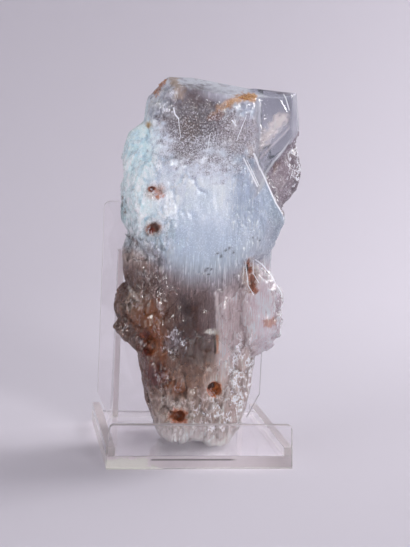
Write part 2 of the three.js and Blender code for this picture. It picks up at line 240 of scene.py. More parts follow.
def stand_plate(node_name, thin_axis, grow=(0, 0, 0)):
    """A plate with the solid's outline, its edges broken and its sawn sides told from its faces.
    It reaches past the solid by grow, so that glued plates are bonded with no air between them."""
    mesh = merged_mesh(node_name)
    bmesh.ops.dissolve_limit(mesh, angle_limit=FLAT_ANGLE, verts=mesh.verts, edges=mesh.edges)
    reach_past(mesh, node_name, grow)
    closed = [edge for edge in mesh.edges if len(edge.link_faces) == 2]
    sharp = [edge for edge in closed if edge.calc_face_angle() > SHARP_ANGLE]
    bmesh.ops.bevel(
        mesh, geom=sharp, offset=EDGE_BREAK, segments=2, profile=0.6, affect="EDGES",
        clamp_overlap=True,
    )
    bmesh.ops.recalc_face_normals(mesh, faces=mesh.faces)
    for face in mesh.faces:
        face.material_index = 0 if abs(face.normal[thin_axis]) > 0.9 else 1
        face.smooth = False
    piece = as_object(mesh, node_name + "_plate")
    piece.data.materials.append(polished_acrylic)
    piece.data.materials.append(sawn_acrylic)
    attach(piece, "root")
    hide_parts(node_name)


stand_plate("stand_base", UP)

# Front lip of the stand: a low plate of 3 mm acrylic, round at its top corners, glued across the
# front edge of the base. The stone's foot is seen through it.
stand_plate("stand_front_lip", DEEP, grow=(0, BOND_OVERLAP, 0))

# Back plate of the stand: the tall 2.5 mm acrylic plate that the stone leans on, with round top
# corners, and corners cut off at its foot. It is glued upright on the base.
stand_plate("stand_back_plate", DEEP, grow=(0, 0, -BOND_OVERLAP))

# Ribs and rails of the stand: two acrylic gussets glued behind the back plate, and a low strip
# glued along each side of the base.
for side in ("left", "right"):
    stand_plate(f"stand_rib_{side}", ACROSS, grow=(0, -BOND_OVERLAP, 0))
    stand_plate(f"stand_rail_{side}", ACROSS, grow=(0, 0, -BOND_OVERLAP))


# The stone: one grown-together group of topaz crystals, which share their upright direction.
# Etching has left most of it milky and finely ridged from top to bottom, over smoky brown below,
# and only its upper right is still glassy. Iron has stained its pits and cracks.
GRAIN = 0.65 * MM
STONE_LEAN = 0.08
FRONT_DEPTH = -23.0
MOST_INWARD = -2.2
MOST_OUTWARD = 0.9

# Places on the stone's front, as (x, z) in millimetres
BLUE_FOOT = (
    (-24, 90.5), (-17.3, 85.0), (-12.6, 80.5), (-4.2, 76.5),
    (6.2, 76.0), (12.4, 77.6), (18.6, 81.0), (24.7, 85.5),
)
CLEFT_X, CLEFT_Z = 25, 113
CLEFT_SLOPE = 1.38
EDGE_TOP = (21.1, 125.8)
EDGE_BEND = (31.5, 105.8)
INNER_EDGE = [(16.8, 123.8), (22.8, 112.5)]
SCAR = [(-4.4, 115.7), (-2.4, 111.3), (1.2, 109.4)]


def baked(thing):
    """The object with its modifiers turned into plain mesh."""
    graph = bpy.context.evaluated_depsgraph_get()
    data = bpy.data.meshes.new_from_object(thing.evaluated_get(graph))
    thing.modifiers.clear()
    thing.data = data
    return thing


def remeshed(thing, size):
    fine = thing.modifiers.new("grain", "REMESH")
    fine.mode = "VOXEL"
    fine.voxel_size = size
    fine.use_smooth_shade = True
    return baked(thing)


def places(thing):
    """The piece's points in millimetres, one row each."""
    flat = np.empty(len(thing.data.vertices) * 3, np.float32)
    thing.data.vertices.foreach_get("co", flat)
    return flat.reshape(-1, 3).astype(float) / MM


def normals(thing):
    flat = np.empty(len(thing.data.vertices) * 3, np.float32)
    thing.data.vertex_normals.foreach_get("vector", flat)
    return flat.reshape(-1, 3).astype(float)


def move_points(thing, points):
    thing.data.vertices.foreach_set("co", (points * MM).astype(np.float32).ravel())
    thing.data.update()


def smooth(value, low, high):
    """0 below low and 1 above high, with a soft step between them."""
    share = np.clip((value - low) / (high - low), 0, 1)
    return share * share * (3 - 2 * share)


def waves(points, scale, octaves=2, shift=0.0):
    """Soft noise around 0, about -1 to 1. scale is one number, or one for each axis."""
    softness, finer = 0.9, 2.1
    return np.array([
        noise.fractal(Vector(p), softness, finer, octaves) for p in points * np.array(scale) + shift
    ])


def steps(value, height):
    """The value in flat treads of this height, with short steep risers."""
    level = value / height
    tread = np.floor(level)
    return (tread + smooth(level - tread, 0.75, 1.0)) * height


def chips(points, size):
    """Flat chips about this size, each with its own tilt: how far they stand out, about -1 to 1."""
    unalike = 31.7
    height = np.empty(len(points))
    for i, p in enumerate(points / size):
        nearest = noise.voronoi(Vector(p))[1][0]
        tilt = noise.cell_vector(nearest * unalike) * 2 - Vector((1, 1, 1))
        height[i] = tilt.dot(Vector(p) - nearest)
    return height


def neighbours(thing):
    """Each edge's two points, as two columns."""
    ends = np.empty(len(thing.data.edges) * 2, np.int32)
    thing.data.edges.foreach_get("vertices", ends)
    return ends.reshape(-1, 2)


def relaxed(points, ends, rounds, share=1.0):
    """The points after that many rounds of moving each towards the middle of its neighbours."""
    count = np.bincount(ends.ravel(), minlength=len(points))[:, None]
    share = np.broadcast_to(share, len(points))[:, None] * 0.5
    for _ in range(rounds):
        total = np.column_stack([
            np.bincount(ends[:, 0], points[ends[:, 1], axis], len(points))
            + np.bincount(ends[:, 1], points[ends[:, 0], axis], len(points))
            for axis in range(3)
        ])
        points = points + (total / count - points) * share
    return points


topaz = remeshed(as_object(merged_mesh("topaz_crystal"), "topaz"), GRAIN)
ends = neighbours(topaz)
points = places(topaz)
x, y, z = points.T
wander = 2.5 * waves(points, 0.11) + 1.0 * waves(points, 0.4, shift=9.0)
rim_noise = waves(points, 0.55, octaves=3, shift=4.0)
fine_noise = waves(points, 1.0, octaves=2, shift=14.0)
cloud = waves(points, 0.07, octaves=3, shift=21.0)
front_y = FRONT_DEPTH + STONE_LEAN * z


def oval(cx, cz, half_x, half_z, turn=0.0, soft=0.35, ragged=0.3, reach=7.0):
    """1 inside an oval on the stone's front and 0 outside it, with a ragged rim. turn is in degrees,
    and reach is how far it goes in from the front, in millimetres."""
    c, s = math.cos(math.radians(turn)), math.sin(math.radians(turn))
    across, up = (x - cx) * c + (z - cz) * s, (z - cz) * c - (x - cx) * s
    radius = np.sqrt((across / half_x) ** 2 + (up / half_z) ** 2 + ((y - front_y) / reach) ** 2)
    return 1 - smooth(radius + ragged * rim_noise, 1 - soft, 1 + soft)


def trail(stops, width, soft=0.4, ragged=0.0, reach=7.0):
    """1 along a line through these (x, z) stops on the stone's front, 0 beyond half its width."""
    away = np.full(len(points), 1e3)
    for (x0, z0), (x1, z1) in zip(stops, stops[1:]):
        dx, dz = x1 - x0, z1 - z0
        along = np.clip(((x - x0) * dx + (z - z0) * dz) / (dx * dx + dz * dz), 0, 1)
        away = np.minimum(away, np.hypot(x - x0 - along * dx, z - z0 - along * dz))
    near = 1 - smooth(np.abs(y - front_y), reach, reach + 3)
    return (1 - smooth(2 * away / width + ragged * rim_noise, 1 - soft, 1 + soft)) * near


# Regions, each from 0 to 1: the blue upper part, the clear block at the upper right with the other
# glassy parts, and the wedge that stands out behind the front crystal's right edge
blue_foot = np.interp(x, *zip(*BLUE_FOOT))
behind = smooth(y, -12, 0)
blueness = smooth(z - blue_foot + wander * (0.45 + 1.55 * behind), -10, 7)
cleft = z - CLEFT_Z - CLEFT_SLOPE * (x - CLEFT_X)
block = smooth(cleft, -0.6, 0.6) * smooth(x, 20, 24)
glassy = np.maximum(block, smooth(z + (0.5 + 1.5 * behind) * wander, 142, 148))
glassy *= 1 - 0.9 * oval(-18, 146, 6, 12, reach=14)
under_top, under_bend = np.maximum(0, EDGE_TOP[1] - z), np.maximum(0, EDGE_BEND[1] - z)
wedge_left = EDGE_TOP[0] + 0.52 * under_top + 0.27 * under_bend
wedge = smooth(-cleft, -0.4, 0.8) * smooth(x - wedge_left, -0.3, 0.8) * smooth(z, 99, 101)
wedge_body = smooth(x - wedge_left, -2, 1) * smooth(z, 92, 97) * (1 - glassy)
front = smooth(-y, 2, 9)

# Broken and deeply etched parts, and the parts that are ridged from top to bottom
crumpled = np.maximum.reduce([
    oval(-20, 92, 9, 9),
    oval(-24, 60, 12, 14, reach=12),
    0.6 * oval(-24, 78, 8, 9, reach=12),
    oval(-12, 20, 13, 16, reach=12),
    oval(7, 19, 9, 10),
    oval(20, 33, 7, 18, reach=14),
    oval(-10, 48, 5, 6),
    oval(36, 62, 4, 16, reach=14),
    oval(-29, 90, 6, 10, reach=12),
    0.7 * smooth(y, 2, 8) * smooth(wander, -1, 1.5),
    0.5 * oval(-18, 112, 12, 16),
    0.7 * oval(-28, 114, 6, 25, soft=0.5, ragged=0.6, reach=14),
    0.9 * oval(-18, 147, 6, 9, reach=14),
    0.6 * oval(-22, 142, 6, 12, reach=12),
    0.8 * wedge * oval(38, 108, 6, 12, reach=14),
])
striated = (1 - glassy) * (1 - 0.6 * crumpled) * (1 - 0.8 * wedge)

# The etched crystals' rims are worn round, and their front runs on from blue to brown
lower_right = smooth(x, 17, 22) * smooth(-z, -90, -84)
worn = (1 - glassy) * smooth(-y, 8, 14) * (1 - lower_right) * smooth(x, -31, -27)
seam = smooth(-np.abs(z - blue_foot + 4), -9, -4) * smooth(-y, 10, 15) * smooth(24 - x, 0, 4)
window_foot = np.maximum(oval(-2, 43.5, 14, 6, ragged=0.0), oval(-13.5, 58, 4.5, 15, ragged=0.0))
crest_step = (1 - glassy) * oval(2, 128, 24, 9, ragged=0.0)
points = relaxed(points, ends, 6, worn)
points = relaxed(points, ends, 110, np.maximum.reduce([seam, window_foot, crest_step]))
points = relaxed(points, ends, 160, window_foot)
move_points(topaz, points)
outward = normals(topaz)

# Relief, in millimetres outwards: swells, ridges and steps, chips, and columns on the back
drift = 2.2 * waves(points, 0.09, octaves=2, shift=5.0)
bent = points + np.column_stack([drift, drift, 0 * drift])
swell = waves(points, (0.13, 0.13, 0.06), octaves=2, shift=3.0)
ribs = steps(waves(bent, (0.42, 0.42, 0.04), octaves=3), 0.22)
fine_ribs = waves(bent, (1.1, 1.1, 0.07), octaves=2, shift=7.0)
big_chips = chips(points * (1, 1, 0.5), 5.0)
blades = chips(points * (1, 1, 0.3) + 50, 2.4)
columns = steps(waves(bent, (0.15, 0.15, 0.014), octaves=2, shift=17.0), 0.28)
calm = blueness * front * (1 - crumpled)
chipping = 2.4 * big_chips + 0.7 * crumpled * blades
relief = (1 - glassy) * (0.5 - 0.3 * calm) * swell
relief += striated * (0.9 - 0.5 * calm) * (0.45 * ribs + 0.12 * fine_ribs)
relief += (0.3 + 0.7 * crumpled) * (1 - glassy) * (1 - 0.8 * calm) * chipping
relief += (1 - glassy) * 0.06 * waves(points, 0.9, octaves=2, shift=2.0)
relief += (1 - glassy) * smooth(y, -12, -2) * 2.6 * columns

# The lobe at the lower right and the wedge are flatter, with chipped rims
lobe = smooth(x, 20, 24) * smooth(z, 40, 44) * smooth(-z, -86, -82)
rim = 1 - smooth(-outward[:, 1], 0.45, 0.8)
relief *= (1 - 0.55 * lobe * (1 - rim)) * (1 - 0.75 * wedge_body * (1 - rim))
relief += rim * (lobe + wedge_body) * 1.6 * chips(points + 20, 3.6)
relief = np.clip(relief, MOST_INWARD, MOST_OUTWARD)
relief += 0.25 * trail(INNER_EDGE, 1.3) + 0.25 * trail([EDGE_TOP, EDGE_BEND], 1.3)
relief -= 0.25 * trail(SCAR, 1.6, ragged=0.3)
low, high = [np.array(corner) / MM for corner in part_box("topaz_crystal")]
points = np.clip(points + outward * relief[:, None], low, high)
move_points(topaz, points)
outward = normals(topaz)
x, y, z = points.T
hollow = np.einsum("ij,ij->i", relaxed(points, ends, 4) - points, outward)
deep_hollow = np.einsum("ij,ij->i", relaxed(points, ends, 25) - points, outward)


# Colour, laid on in coats: each covers the ones before it where its mask is 1
def light_of(level):
    """The amount of light of a level from 0 to 255 in a picture."""
    share = level / 255
    if share <= 0.04045:
        return share / 12.92
    return ((share + 0.055) / 1.055) ** 2.4


def tone(red, green, blue):
    """The colour of a paint that shows as these 0-255 values in even light."""
    return np.array([light_of(red), light_of(green), light_of(blue)])


MILK = tone(240, 242, 250)
INK = tone(46, 36, 34)
SMOKY_BROWN = tone(134, 99, 83)

tint = np.tile(SMOKY_BROWN, (len(points), 1))
clearness = np.full(len(points), 0.75)
etching = np.full(len(points), 0.13)


def paint(mask, shade=None, clear=None, rough=None):
    """Brings the colour, clearness and roughness towards these values as far as the mask says."""
    if shade is not None:
        tint[:] = tint + (shade - tint) * mask[:, None]
    if clear is not None:
        clearness[:] = clearness + (clear - clearness) * mask
    if rough is not None:
        etching[:] = etching + (rough - etching) * mask


# Smoky foot: brown on the left and pale pinkish grey on the right, with darker and paler patches
below = 1 - blueness
patchy = waves(points, (0.3, 0.3, 0.2), octaves=3, shift=31.0)
paint(below * smooth(patchy, 0.1, 0.6) * 0.7, tone(88, 58, 44))
paint(below * smooth(-patchy, 0.15, 0.6) * 0.6, tone(176, 150, 138))
paint(below * smooth(x + 0.8 * wander, 3, 11), tone(250, 231, 231), clear=0.55)
paint(below * oval(0, 34, 16, 12, soft=0.6) * (1 - smooth(x, 6, 10)), tone(166, 124, 96), clear=0.7)

# The dark window in its middle, and the greyer band above that
paint(below * oval(-2, 55, 12, 15, soft=0.3), tone(78, 36, 16), clear=0.85)
paint(below * oval(-7, 61, 4, 6, soft=0.5, ragged=0.5), tone(44, 18, 10), clear=0.8)
paint(below * oval(-2, 55, 11, 13) * smooth(patchy, 0.0, 0.4) * 0.6, tone(124, 96, 88), clear=0.7)
paint(below * smooth(z, 62, 72) * front * smooth(x, -24, -14), tone(150, 130, 128), clear=0.7)

# The lowest end, painted pale, partly to stand in for the light that reaches the foot through the clear
# stand, and the matt ledge under the window
paint(below * oval(-8, 14, 18, 13, soft=0.6, ragged=0.5) * front, tone(214, 192, 178), clear=0.55)
paint(below * smooth(-z, -19, -8), tone(248, 236, 234), clear=0.5)
paint(below * oval(10, 24, 7, 14, soft=0.6) * front, tone(238, 214, 202), clear=0.5)
paint(oval(2, 44, 11, 6), rough=0.45)

# The glossy lobe at the right, and the crumpled edge under it
lobe_face = below * smooth(x + wander, 18, 22) * smooth(z, 38, 44)
paint(lobe_face, tone(248, 230, 236), clear=0.4, rough=0.06)
paint(below * oval(20, 33, 6, 17, soft=0.5, reach=14), tone(232, 210, 202), clear=0.4)

# The lumps and the spike at the left, with a painted shadow along the spike's edge
left_shoulder = below * oval(-25, 79, 8, 9, reach=12) * smooth(patchy, 0.0, 0.3)
spike_painted_shadow = trail([(-33.5, 67), (-32.5, 60), (-28, 55)], 2.6, ragged=0.6, reach=14)
paint(oval(-27, 63, 5, 6), tone(158, 136, 118), clear=0.65)
paint(below * smooth(z, 74, 82) * smooth(-x, 17, 24), tone(200, 178, 170), clear=0.5)
paint(left_shoulder * 0.7, tone(132, 116, 112), clear=0.6)
# A painted shadow along the edge of the spike
paint(spike_painted_shadow, tone(124, 92, 76), clear=0.4)
paint(trail([(-31.5, 72.8), (-24.6, 64)], 1.4, ragged=0.3), tone(210, 196, 186), clear=0.4)

# Paler and darker places beside the window
paint(oval(-10, 48, 4, 4.5, ragged=0.5) * 0.6, tone(176, 164, 168), clear=0.5)
paint(below * oval(-5, 43, 9, 8, soft=0.7) * 0.6, tone(84, 58, 50), clear=0.7)
paint(below * oval(14, 58, 7, 14, soft=0.6), tone(230, 210, 210), clear=0.5)
paint(below * oval(4, 60, 3.5, 10, soft=0.6), tone(128, 106, 102), clear=0.7)

# Milky blue above it, clouded
paint(blueness * 0.8, tone(198, 190, 196), clear=0.3, rough=0.2)
milky = smooth(z - blue_foot + 0.6 * wander, -2, 13)
paint(milky, tone(233, 241, 252), clear=0.08, rough=0.24)
paint(blueness * smooth(-z, -100, -80), tone(196, 209, 221), clear=0.25)
paint(blueness * oval(-2, 91, 17, 8, soft=0.7) * 0.8, tone(197, 211, 226), clear=0.1)
paint(blueness * smooth(cloud, 0.0, 0.5) * 0.4, tone(206, 222, 240), clear=0.25)

# Deeper blue at its right, and more cyan at its left edge
far_right = smooth(x + 0.5 * wander, 27, 32)
paint(blueness * smooth(x + wander, 16, 26), tone(212, 224, 238), clear=0.35, rough=0.22)
paint(blueness * smooth(-x + wander, 17, 25), tone(232, 250, 255), clear=0.05)
paint(
    blueness * smooth(x + wander, 9, 15) * smooth(z, 90, 100),
    tone(204, 218, 236), clear=0.35, rough=0.22,
)
paint(blueness * smooth(x, 25, 29) * smooth(-z, -103, -98), tone(216, 224, 238), clear=0.4)
paint(blueness * (1 - glassy) * far_right * (1 - wedge_body) * 0.7, tone(178, 192, 204), clear=0.4)
paint(
    blueness * oval(-18, 92, 10, 8, soft=0.6, ragged=0.6) * smooth(patchy, -0.2, 0.3),
    tone(214, 230, 240), clear=0.15,
)
paint(blueness * oval(-33, 98, 2.5, 9, reach=14), tone(178, 206, 210), clear=0.3)
paint(
    blueness * oval(-27, 128, 5, 10, soft=0.6, ragged=0.6, reach=14) * 0.6,
    tone(206, 236, 252), clear=0.05,
)

# The whitish top left corner, with two grey hollows
paint(oval(-18, 147, 8, 10, soft=0.5, reach=14), tone(246, 248, 255), clear=0.2, rough=0.12)
paint(oval(-20, 141, 3, 3, soft=0.6) * 0.7, tone(150, 160, 176), clear=0.5)
paint(oval(-15.5, 146, 2.2, 5, turn=20, soft=0.6) * 0.6, tone(150, 156, 170), clear=0.5)

# The pinkish wedge at the right, and the clear top, which is milkier left of the block
left_of_block = 1 - smooth(x, 18, 22)
top_rim = smooth(z, 145.5, 148.5) * left_of_block
top_smoke = smooth(z, 143, 147) * left_of_block * smooth(patchy, 0.1, 0.4)
paint(wedge, tone(204, 182, 190), clear=0.75, rough=0.1)
paint(glassy, tone(214, 218, 226), clear=0.97, rough=0.03)
paint(
    glassy * (1 - smooth(x + 0.4 * wander, 18, 23)),
    tone(210, 214, 226), clear=0.7, rough=0.08,
)
paint(top_rim, tone(226, 228, 238), clear=0.35, rough=0.1)
paint(top_smoke * 0.3, tone(160, 150, 152), clear=0.6, rough=0.1)

# The clear block's pale edges and grey top, and the two pale veils in it
paint(oval(25.5, 119, 4, 7, turn=-30, soft=0.6), tone(232, 232, 240), clear=0.5)
paint(block * smooth(3.2 - cleft, 0, 1.2), tone(244, 246, 252), clear=0.5)
paint(block * smooth(z, 134, 141) * 0.7, tone(176, 178, 188), clear=0.9)
paint(block * smooth(x, 36, 38), tone(236, 238, 246), clear=0.75)
paint(oval(22.8, 150.5, 2.6, 2.6, soft=0.5), tone(222, 226, 236), clear=0.4)
wide_veil = trail([(21.1, 127.2), (26, 133), (33.0, 141.0)], 5.0, soft=0.9, ragged=0.7)
paint(wide_veil, tone(246, 234, 226), clear=0.5)
paint(trail([(24.1, 124.2), (36, 137)], 1.2, soft=0.5), tone(236, 232, 236), clear=0.6)
paint(oval(22.2, 138, 2.0, 15, ragged=0.2), tone(236, 238, 246), clear=0.45)

# Smoke in the top
paint(oval(-3, 143, 11, 10, soft=0.6), tone(108, 80, 68), clear=0.8)
paint(oval(-4, 138, 12, 6, soft=0.6), tone(112, 92, 90), clear=0.7)

# Iron stains: the rusty left side of the brown, with its large pit
paint(oval(-20.5, 57, 8.5, 8.5, turn=10, soft=0.6) * 0.95, tone(128, 74, 36), clear=0.4, rough=0.2)
paint(oval(-17.5, 53, 4, 8, turn=10, soft=0.6) * 0.8, tone(144, 80, 28), clear=0.4)
paint(below * oval(-12, 60, 4, 8, soft=0.6) * 0.6, tone(120, 90, 76), clear=0.7)
paint(oval(-20.6, 46.5, 5.0, 6.5, soft=0.4, ragged=0.5), tone(74, 18, 4), clear=0.1, rough=0.3)
pit_edge = trail([(-23.5, 50.5), (-20.5, 46), (-18, 43)], 1.1, ragged=0.5)
paint(pit_edge, tone(150, 74, 40), clear=0.3)
rust_run = trail(
    [(-17.5, 47.6), (-15, 42), (-16.5, 36), (-12, 31), (-7, 28)], 5.5, soft=0.8, ragged=0.6,
)
paint(rust_run, tone(126, 68, 26), clear=0.35)
paint(oval(-18, 34, 5, 5, soft=0.6, ragged=0.6), tone(96, 50, 46), clear=0.4)

# Pale rims round five smaller pits, each given by its middle and its half width and height
PIT_RIM = 0.6
PITS = (
    (7.4, 28.5, 3.2, 3.6),
    (-7.4, 17.5, 4.2, 3.6),
    (21.2, 75.5, 3.0, 6.4),
    (-19.8, 109.2, 3.6, 2.8),
    (-20.3, 94.4, 3.0, 2.4),
)
for cx, cz, half_x, half_z in PITS:
    around = oval(cx, cz, half_x + PIT_RIM, half_z + PIT_RIM, ragged=0.25)
    paint(around * 0.7, tone(226, 204, 190), clear=0.3)

# Rust inside the pits: the two in the foot, the long one at the lobe, and the two in the blue
paint(
    oval(7.4, 28.5, 3.2, 3.5, ragged=0.15, soft=0.12, reach=14),
    tone(188, 104, 50), clear=0.05, rough=0.5,
)
paint(oval(6.2, 30.0, 1.8, 1.4, ragged=0.3, soft=0.2), tone(56, 26, 14), clear=0.05, rough=0.4)
paint(oval(-7.4, 17.5, 4.2, 3.4, ragged=0.5, reach=14), tone(156, 80, 38), clear=0.1, rough=0.5)
lobe_pit = trail([(20.3, 80.5), (21.2, 76), (22.4, 70.5)], 2.6, ragged=1.1)
paint(lobe_pit, tone(150, 86, 58), clear=0.3, rough=0.3)
paint(oval(19.4, 79.0, 0.8, 1.6, ragged=0.2, soft=0.2), INK, clear=0.1, rough=0.3)
paint(
    oval(-21.4, 110.3, 1.9, 1.25, ragged=0.1, soft=0.12, reach=16),
    tone(128, 62, 26), clear=0.05, rough=0.7,
)
paint(oval(-18.2, 108.0, 2.1, 2.0, ragged=0.6) * 0.9, tone(206, 132, 98), clear=0.2, rough=0.3)
paint(
    oval(-20.3, 94.4, 2.7, 2.0, ragged=0.5, soft=0.2, reach=16),
    tone(150, 104, 84), clear=0.1, rough=0.5,
)
paint(
    oval(-20.5, 94.0, 1.9, 1.2, ragged=0.6, soft=0.12, reach=16),
    tone(134, 50, 28), clear=0.05, rough=0.7,
)
paint(oval(29.8, 57, 3.2, 2.0, ragged=0.5), tone(214, 166, 152), clear=0.4)
paint(oval(-30, 86, 3.5, 5, soft=0.6), tone(120, 84, 50), clear=0.5)

# The ochre vein under the top edge, and rusty marks at the upper left
vein = trail([
    (3.1, 140.3), (5.1, 142), (6.7, 144.1), (7.9, 144.9),
    (10.8, 146.7), (13.6, 148), (16.9, 148.6), (20.3, 149.1),
], 3.2, soft=0.5, ragged=0.8)
vein_foot = trail([(3.0, 140.0), (4.8, 139.6), (6.5, 142)], 2.6, ragged=0.6)
top_mark = trail([(-20.0, 149.6), (-18.2, 152.0), (-16.6, 154.2)], 2.6, ragged=0.9, reach=14)
faint_mark = trail(
    [(-12.6, 154.4), (-11.6, 151.3), (-10.4, 148.4)], 3.6, soft=0.8, ragged=0.9, reach=14,
)
paint(vein, tone(200, 144, 82), clear=0.35, rough=0.25)
paint(vein * smooth(fine_noise, 0.1, 0.5), tone(146, 88, 42), clear=0.35, rough=0.25)
paint(vein_foot, tone(126, 66, 34), clear=0.3)
paint(top_mark * 0.9, tone(192, 126, 80), clear=0.4, rough=0.25)
paint(faint_mark * 0.7, tone(196, 164, 132), clear=0.5, rough=0.25)
paint(oval(-22.9, 136, 1.3, 1.6), tone(224, 190, 130), clear=0.3)

# Crests of the relief painted paler, partly as edge wear and partly as painted highlight, and the
# stained hollows; the back painted paler on its raised columns and darker between them, with pale
# patches
crest_wear_and_highlight = smooth(-hollow, 0.06, 0.16) * (1 - glassy) * (1 - 0.8 * oval(-20, 57, 9, 9))
paint(0.3 * crest_wear_and_highlight, np.clip(tint * 1.9, 0, 0.85), clear=0.4)
stained = smooth(waves(points, 0.12, octaves=3, shift=44.0), 0.15, 0.45)
stained = stained * smooth(deep_hollow, 0.05, 0.3) * smooth(y, -14, -6)
paint(0.75 * stained * (1 - glassy), tone(150, 92, 52), clear=0.4, rough=0.2)
rear = below * smooth(y, -2, 6)
paint(rear * smooth(columns, -0.1, 0.3) * 0.7, tone(172, 150, 144), clear=0.5, rough=0.15)
paint(rear * smooth(-columns, 0.0, 0.4) * 0.7, tone(92, 62, 50), clear=0.6)
paint(rear * smooth(patchy, 0.25, 0.5) * 0.7, tone(222, 212, 214), clear=0.3, rough=0.2)

# Painted shade in the hollows of the relief, in the brown and in the blue, and the bent scar in the blue
painted_hollow_shade = smooth(hollow, 0.06, 0.16) * (1 - blueness) * (1 - glassy) * (1 - window_foot)
painted_hollow_shade *= 1 - oval(-19, 57, 11, 10)
blue_hollow_shade = 0.32 * smooth(hollow, 0.05, 0.14) * blueness * (1 - glassy)
paint(0.6 * painted_hollow_shade, tint * 0.45)
paint(blue_hollow_shade, tint * np.array([0.60, 0.75, 0.83]))
paint(0.6 * trail(SCAR, 0.7, ragged=0.5), tone(160, 170, 188))
paint(0.5 * trail([(-2.4, 111.3), (-3.4, 108.4)], 0.7, ragged=0.5), tone(170, 180, 196))

# The ridge right of the window, painted pale as a highlight, the dark slit and pale sliver beside it,
# and a white chip
paint(trail([(6.8, 68.5), (8, 57.4), (9.3, 44.6)], 1.5, ragged=0.2), tone(236, 222, 220), clear=0.4)
paint(trail([(7.0, 52.5), (7.3, 44)], 1.0), tone(48, 18, 8), clear=0.1)
paint(trail([(8.0, 52.5), (8.3, 44)], 0.9), tone(200, 150, 122), clear=0.3)
paint(oval(5.6, 52.2, 2.6, 1.3, ragged=0.6), tone(212, 206, 196), clear=0.2)

# Small black dots in the blue
DOT_RADIUS = 0.5
DOTS = (
    (6.6, 85), (8.3, 83.8), (9.9, 86.3), (11.6, 87.2), (13.3, 85.6), (1.9, 77.9),
    (3.2, 76.3), (4.3, 78.4), (2.7, 78.7), (21.1, 91.9), (23.2, 91.6), (24.1, 90.8),
)
for cx, cz in DOTS:
    paint(oval(cx, cz, DOT_RADIUS, DOT_RADIUS, ragged=0.0, soft=0.4) * 0.8, INK, clear=0.1)

# Frost in front of the smoke, as a band of white and dark specks
clumps = waves(points, 0.28, octaves=3, shift=61.0)
frosted = oval(4, 130, 22, 12, soft=0.5, ragged=0.5) + oval(-3, 138, 12, 8, soft=0.5)
speckled = np.clip(
    frosted * (0.75 + 0.8 * clumps) + 0.5 * wedge + 0.8 * oval(-7, 133.5, 6, 9, soft=0.5), 0, 1,
)
thin_frost = 0.6 * speckled * (1 - 0.6 * oval(-3, 141, 11, 8, soft=0.6))
low_smoke = oval(-6.3, 135.4, 4, 5, soft=0.5, ragged=0.6)
lower_smoke = oval(-8.4, 126.1, 4, 5, soft=0.5, ragged=0.6)
paint(thin_frost, tone(170, 156, 162), clear=0.6, rough=0.2)
paint(oval(14.5, 134.5, 8, 7, soft=0.6) * 0.6, tone(186, 164, 160), clear=0.6)
paint(oval(4, 150, 6, 3, soft=0.6) * 0.6, tone(214, 216, 228), clear=0.4)
paint(0.7 * (low_smoke + 0.45 * lower_smoke), tone(130, 102, 86), clear=0.6)

# Where upright streaks show, painted in as lighter and darker bands and thin painted highlights: in the
# brown, in the top, and at the right of the blue
lined = (1 - milky) * (1 - 0.5 * crumpled) * (1 - glassy) + 0.12 * milky
lined = np.clip(lined, 0, 1) * (1 - 0.7 * wedge)
lined = np.maximum(lined, 0.5 * smooth(z, 141, 145) * left_of_block)
lined = np.maximum(lined, 0.6 * milky * smooth(x + wander, 6, 14) * (1 - glassy))

# Where white glints are painted on wet-looking breaks, most on faces that look to the front, up and to
# the right
GLINT_SIDE = np.array([0.42, -0.74, 0.52])
glint_facing = smooth(outward @ GLINT_SIDE, 0.55, 0.9)
painted_glint_share = (0.2 + 0.8 * glint_facing) * np.clip(
    oval(20, 33, 6, 17, reach=14)
    + 0.4 * oval(7, 19, 9, 9)
    + 0.5 * oval(37, 62, 3, 17, reach=14)
    + 0.45 * oval(-10, 48, 6, 6)
    + 0.7 * wedge * smooth(x, 37, 39)
    + 0.2 * crumpled * below * (1 - smooth(y, -6, 0))
    + 0.5 * oval(-22, 108, 10, 26, soft=0.5, reach=14)
    + 0.5 * oval(-18, 147, 8, 9),
    0, 1,
)

# Where small sharp facets show: hackly means broken into them. It also sets how strongly the facets are
# painted lighter and darker, and the folds painted with shade
hackly = np.clip(0.25 + crumpled, 0, 1) * (1 - 0.9 * glassy) * (1 - 0.6 * calm)
hackly = np.maximum(hackly, 0.4 * milky * smooth(x + wander, 8, 16) * (1 - glassy))
hackly *= (
    (1 - 0.4 * below) * (1 - 0.45 * milky)
    * (1 - 0.85 * oval(-20, 57, 9, 10)) * (1 - 0.9 * oval(4, 44, 9, 6))
)


def keep_values(thing, name, kind, values):
    """Stores one value for each point of the piece, for its material to read."""
    layer = thing.data.attributes.new(name, kind, "POINT")
    field = "color" if kind == "FLOAT_COLOR" else "value"
    layer.data.foreach_set(field, values.astype(np.float32).ravel())


keep_values(topaz, "tint", "FLOAT_COLOR", np.column_stack([tint, np.ones(len(points))]))
keep_values(topaz, "clearness", "FLOAT", clearness)
keep_values(topaz, "etching", "FLOAT", etching)
keep_values(topaz, "striation", "FLOAT", striated * (1 - 0.5 * calm))
keep_values(topaz, "hackly", "FLOAT", hackly)
keep_values(topaz, "speckle", "FLOAT", speckled)
keep_values(topaz, "lines", "FLOAT", lined)
keep_values(topaz, "painted_glint_zone", "FLOAT", painted_glint_share)


# Finish of the stone: milky where it is etched, and see-through with a faint smoke where it isn't
TOPAZ_IOR = 1.62
GLOW_REACH = 6 * MM
HAZE_COLOUR = (0.80, 0.82, 0.86, 1)
HAZE_DENSITY = 20.0
BRIGHTEST_SHADE = (0.88, 0.93, 1.0)
DARK_SPECK = tone(90, 74, 78)
BEND = 3.0
BROAD_FACET = 1.7
SMALL_FACET = 0.75
RIDGE_HEIGHT = 0.2
FACET_HEIGHT = 0.9
FROST_HEIGHT = 0.3
